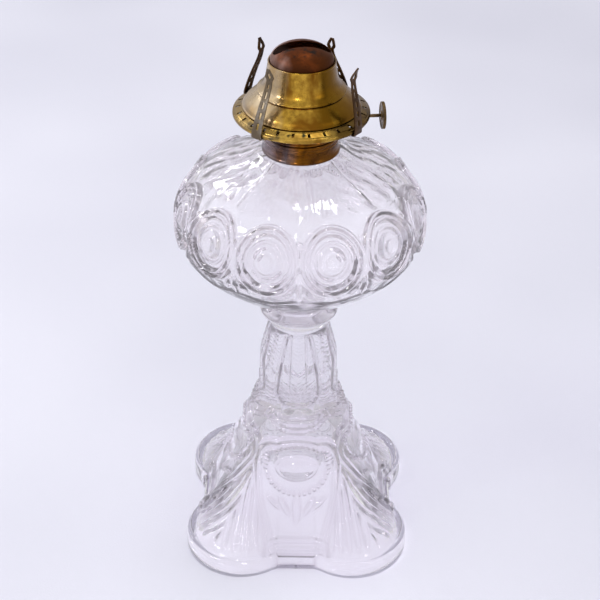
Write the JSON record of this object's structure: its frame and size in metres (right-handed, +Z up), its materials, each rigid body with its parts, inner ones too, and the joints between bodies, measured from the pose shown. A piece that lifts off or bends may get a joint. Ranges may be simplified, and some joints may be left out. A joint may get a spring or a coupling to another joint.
{
  "type": "glass oil lamp",
  "caption": "Pressed-glass table oil lamp with a bull's-eye reservoir on a square lobed foot, and a flat-wick brass burner with spring prongs for a chimney.",
  "frame": {"origin": "on the floor, under the middle of the foot", "axes": "+Z up along the lamp's middle; -Y towards the lamp's front; the wick wheel's knob points to +X, 7 degrees towards +Y"},
  "size_m": [0.1496, 0.1496, 0.3431],
  "materials": {
    "glass": "clear pressed glass with a faint violet cast",
    "cement": "dry white plaster cement",
    "collar_bronze": "dark brown tarnish",
    "burner_brass": "aged brass, olive and brown in the folds",
    "heated_brass": "brass browned by heat, with soot",
    "tarnished_brass": "dark tarnished brass",
    "wick_cotton": "flat woven cotton"
  },
  "bodies": {
    "lamp": {"glass_stand": "glass", "glass_reservoir": "glass", "collar_cement": "cement", "brass_collar": "collar_bronze"},
    "screw_ring": {"screw_ring": "burner_brass"},
    "burner": {"burner_cup": "collar_bronze", "tube_plate": "burner_brass", "air_basket": "burner_brass", "gallery_brim": "burner_brass", "draught_skirt": "burner_brass", "deflector_sleeve": "burner_brass", "deflector_dome": "heated_brass", "wick_tube": "burner_brass", "wheel_cage": "burner_brass", "prong_rivet_front_left": "burner_brass", "prong_rivet_front_right": "burner_brass", "prong_rivet_back_right": "burner_brass", "prong_rivet_back_left": "burner_brass"},
    "wick_drive": {"wick_shaft": "tarnished_brass", "wick_wheel_left": "tarnished_brass", "wick_wheel_right": "tarnished_brass", "thumbwheel": "tarnished_brass"},
    "wick": {"wick": "wick_cotton"},
    "prong_front_left": {"prong_front_left": "tarnished_brass"},
    "prong_front_right": {"prong_front_right": "tarnished_brass"},
    "prong_back_right": {"prong_back_right": "tarnished_brass"},
    "prong_back_left": {"prong_back_left": "tarnished_brass"}
  },
  "joints": [
    {"name": "burner_lift", "type": "slide", "parent": "lamp", "child": "screw_ring", "axis": [0, 0, 1], "range_m": [0, 0.0073]},
    {"name": "burner_turn", "type": "hinge", "parent": "screw_ring", "child": "burner", "pos_m": [0, 0, 0.29], "axis": [0, 0, 1], "range_deg": [0, 1440]},
    {"name": "wick_shaft_turn", "type": "hinge", "parent": "burner", "child": "wick_drive", "pos_m": [0.0006, -0.00486, 0.2994], "axis": [0.9925, 0.1219, 0], "range_deg": [-60, 90]},
    {"name": "wick_raise", "type": "slide", "parent": "burner", "child": "wick", "axis": [0, 0, 1], "range_m": [-0.004, 0.006]},
    {"name": "prong_flex_front_left", "type": "hinge", "parent": "burner", "child": "prong_front_left", "pos_m": [-0.01902, -0.02435, 0.29843], "axis": [0.788, -0.6157, 0], "range_deg": [0, 6], "stiffness_Nm_per_rad": 0.05},
    {"name": "prong_flex_front_right", "type": "hinge", "parent": "burner", "child": "prong_front_right", "pos_m": [0.02435, -0.01902, 0.29843], "axis": [0.6157, 0.788, 0], "range_deg": [0, 6], "stiffness_Nm_per_rad": 0.05},
    {"name": "prong_flex_back_right", "type": "hinge", "parent": "burner", "child": "prong_back_right", "pos_m": [0.01902, 0.02435, 0.29843], "axis": [-0.788, 0.6157, 0], "range_deg": [0, 6], "stiffness_Nm_per_rad": 0.05},
    {"name": "prong_flex_back_left", "type": "hinge", "parent": "burner", "child": "prong_back_left", "pos_m": [-0.02435, 0.01902, 0.29843], "axis": [-0.6157, -0.788, 0], "range_deg": [0, 6], "stiffness_Nm_per_rad": 0.05}
  ],
  "couplings": [
    {"joint": "burner_lift", "follows": "burner_turn", "m_per_rad": 0.00028648},
    {"joint": "wick_raise", "follows": "wick_shaft_turn", "m_per_rad": 0.0036}
  ]
}
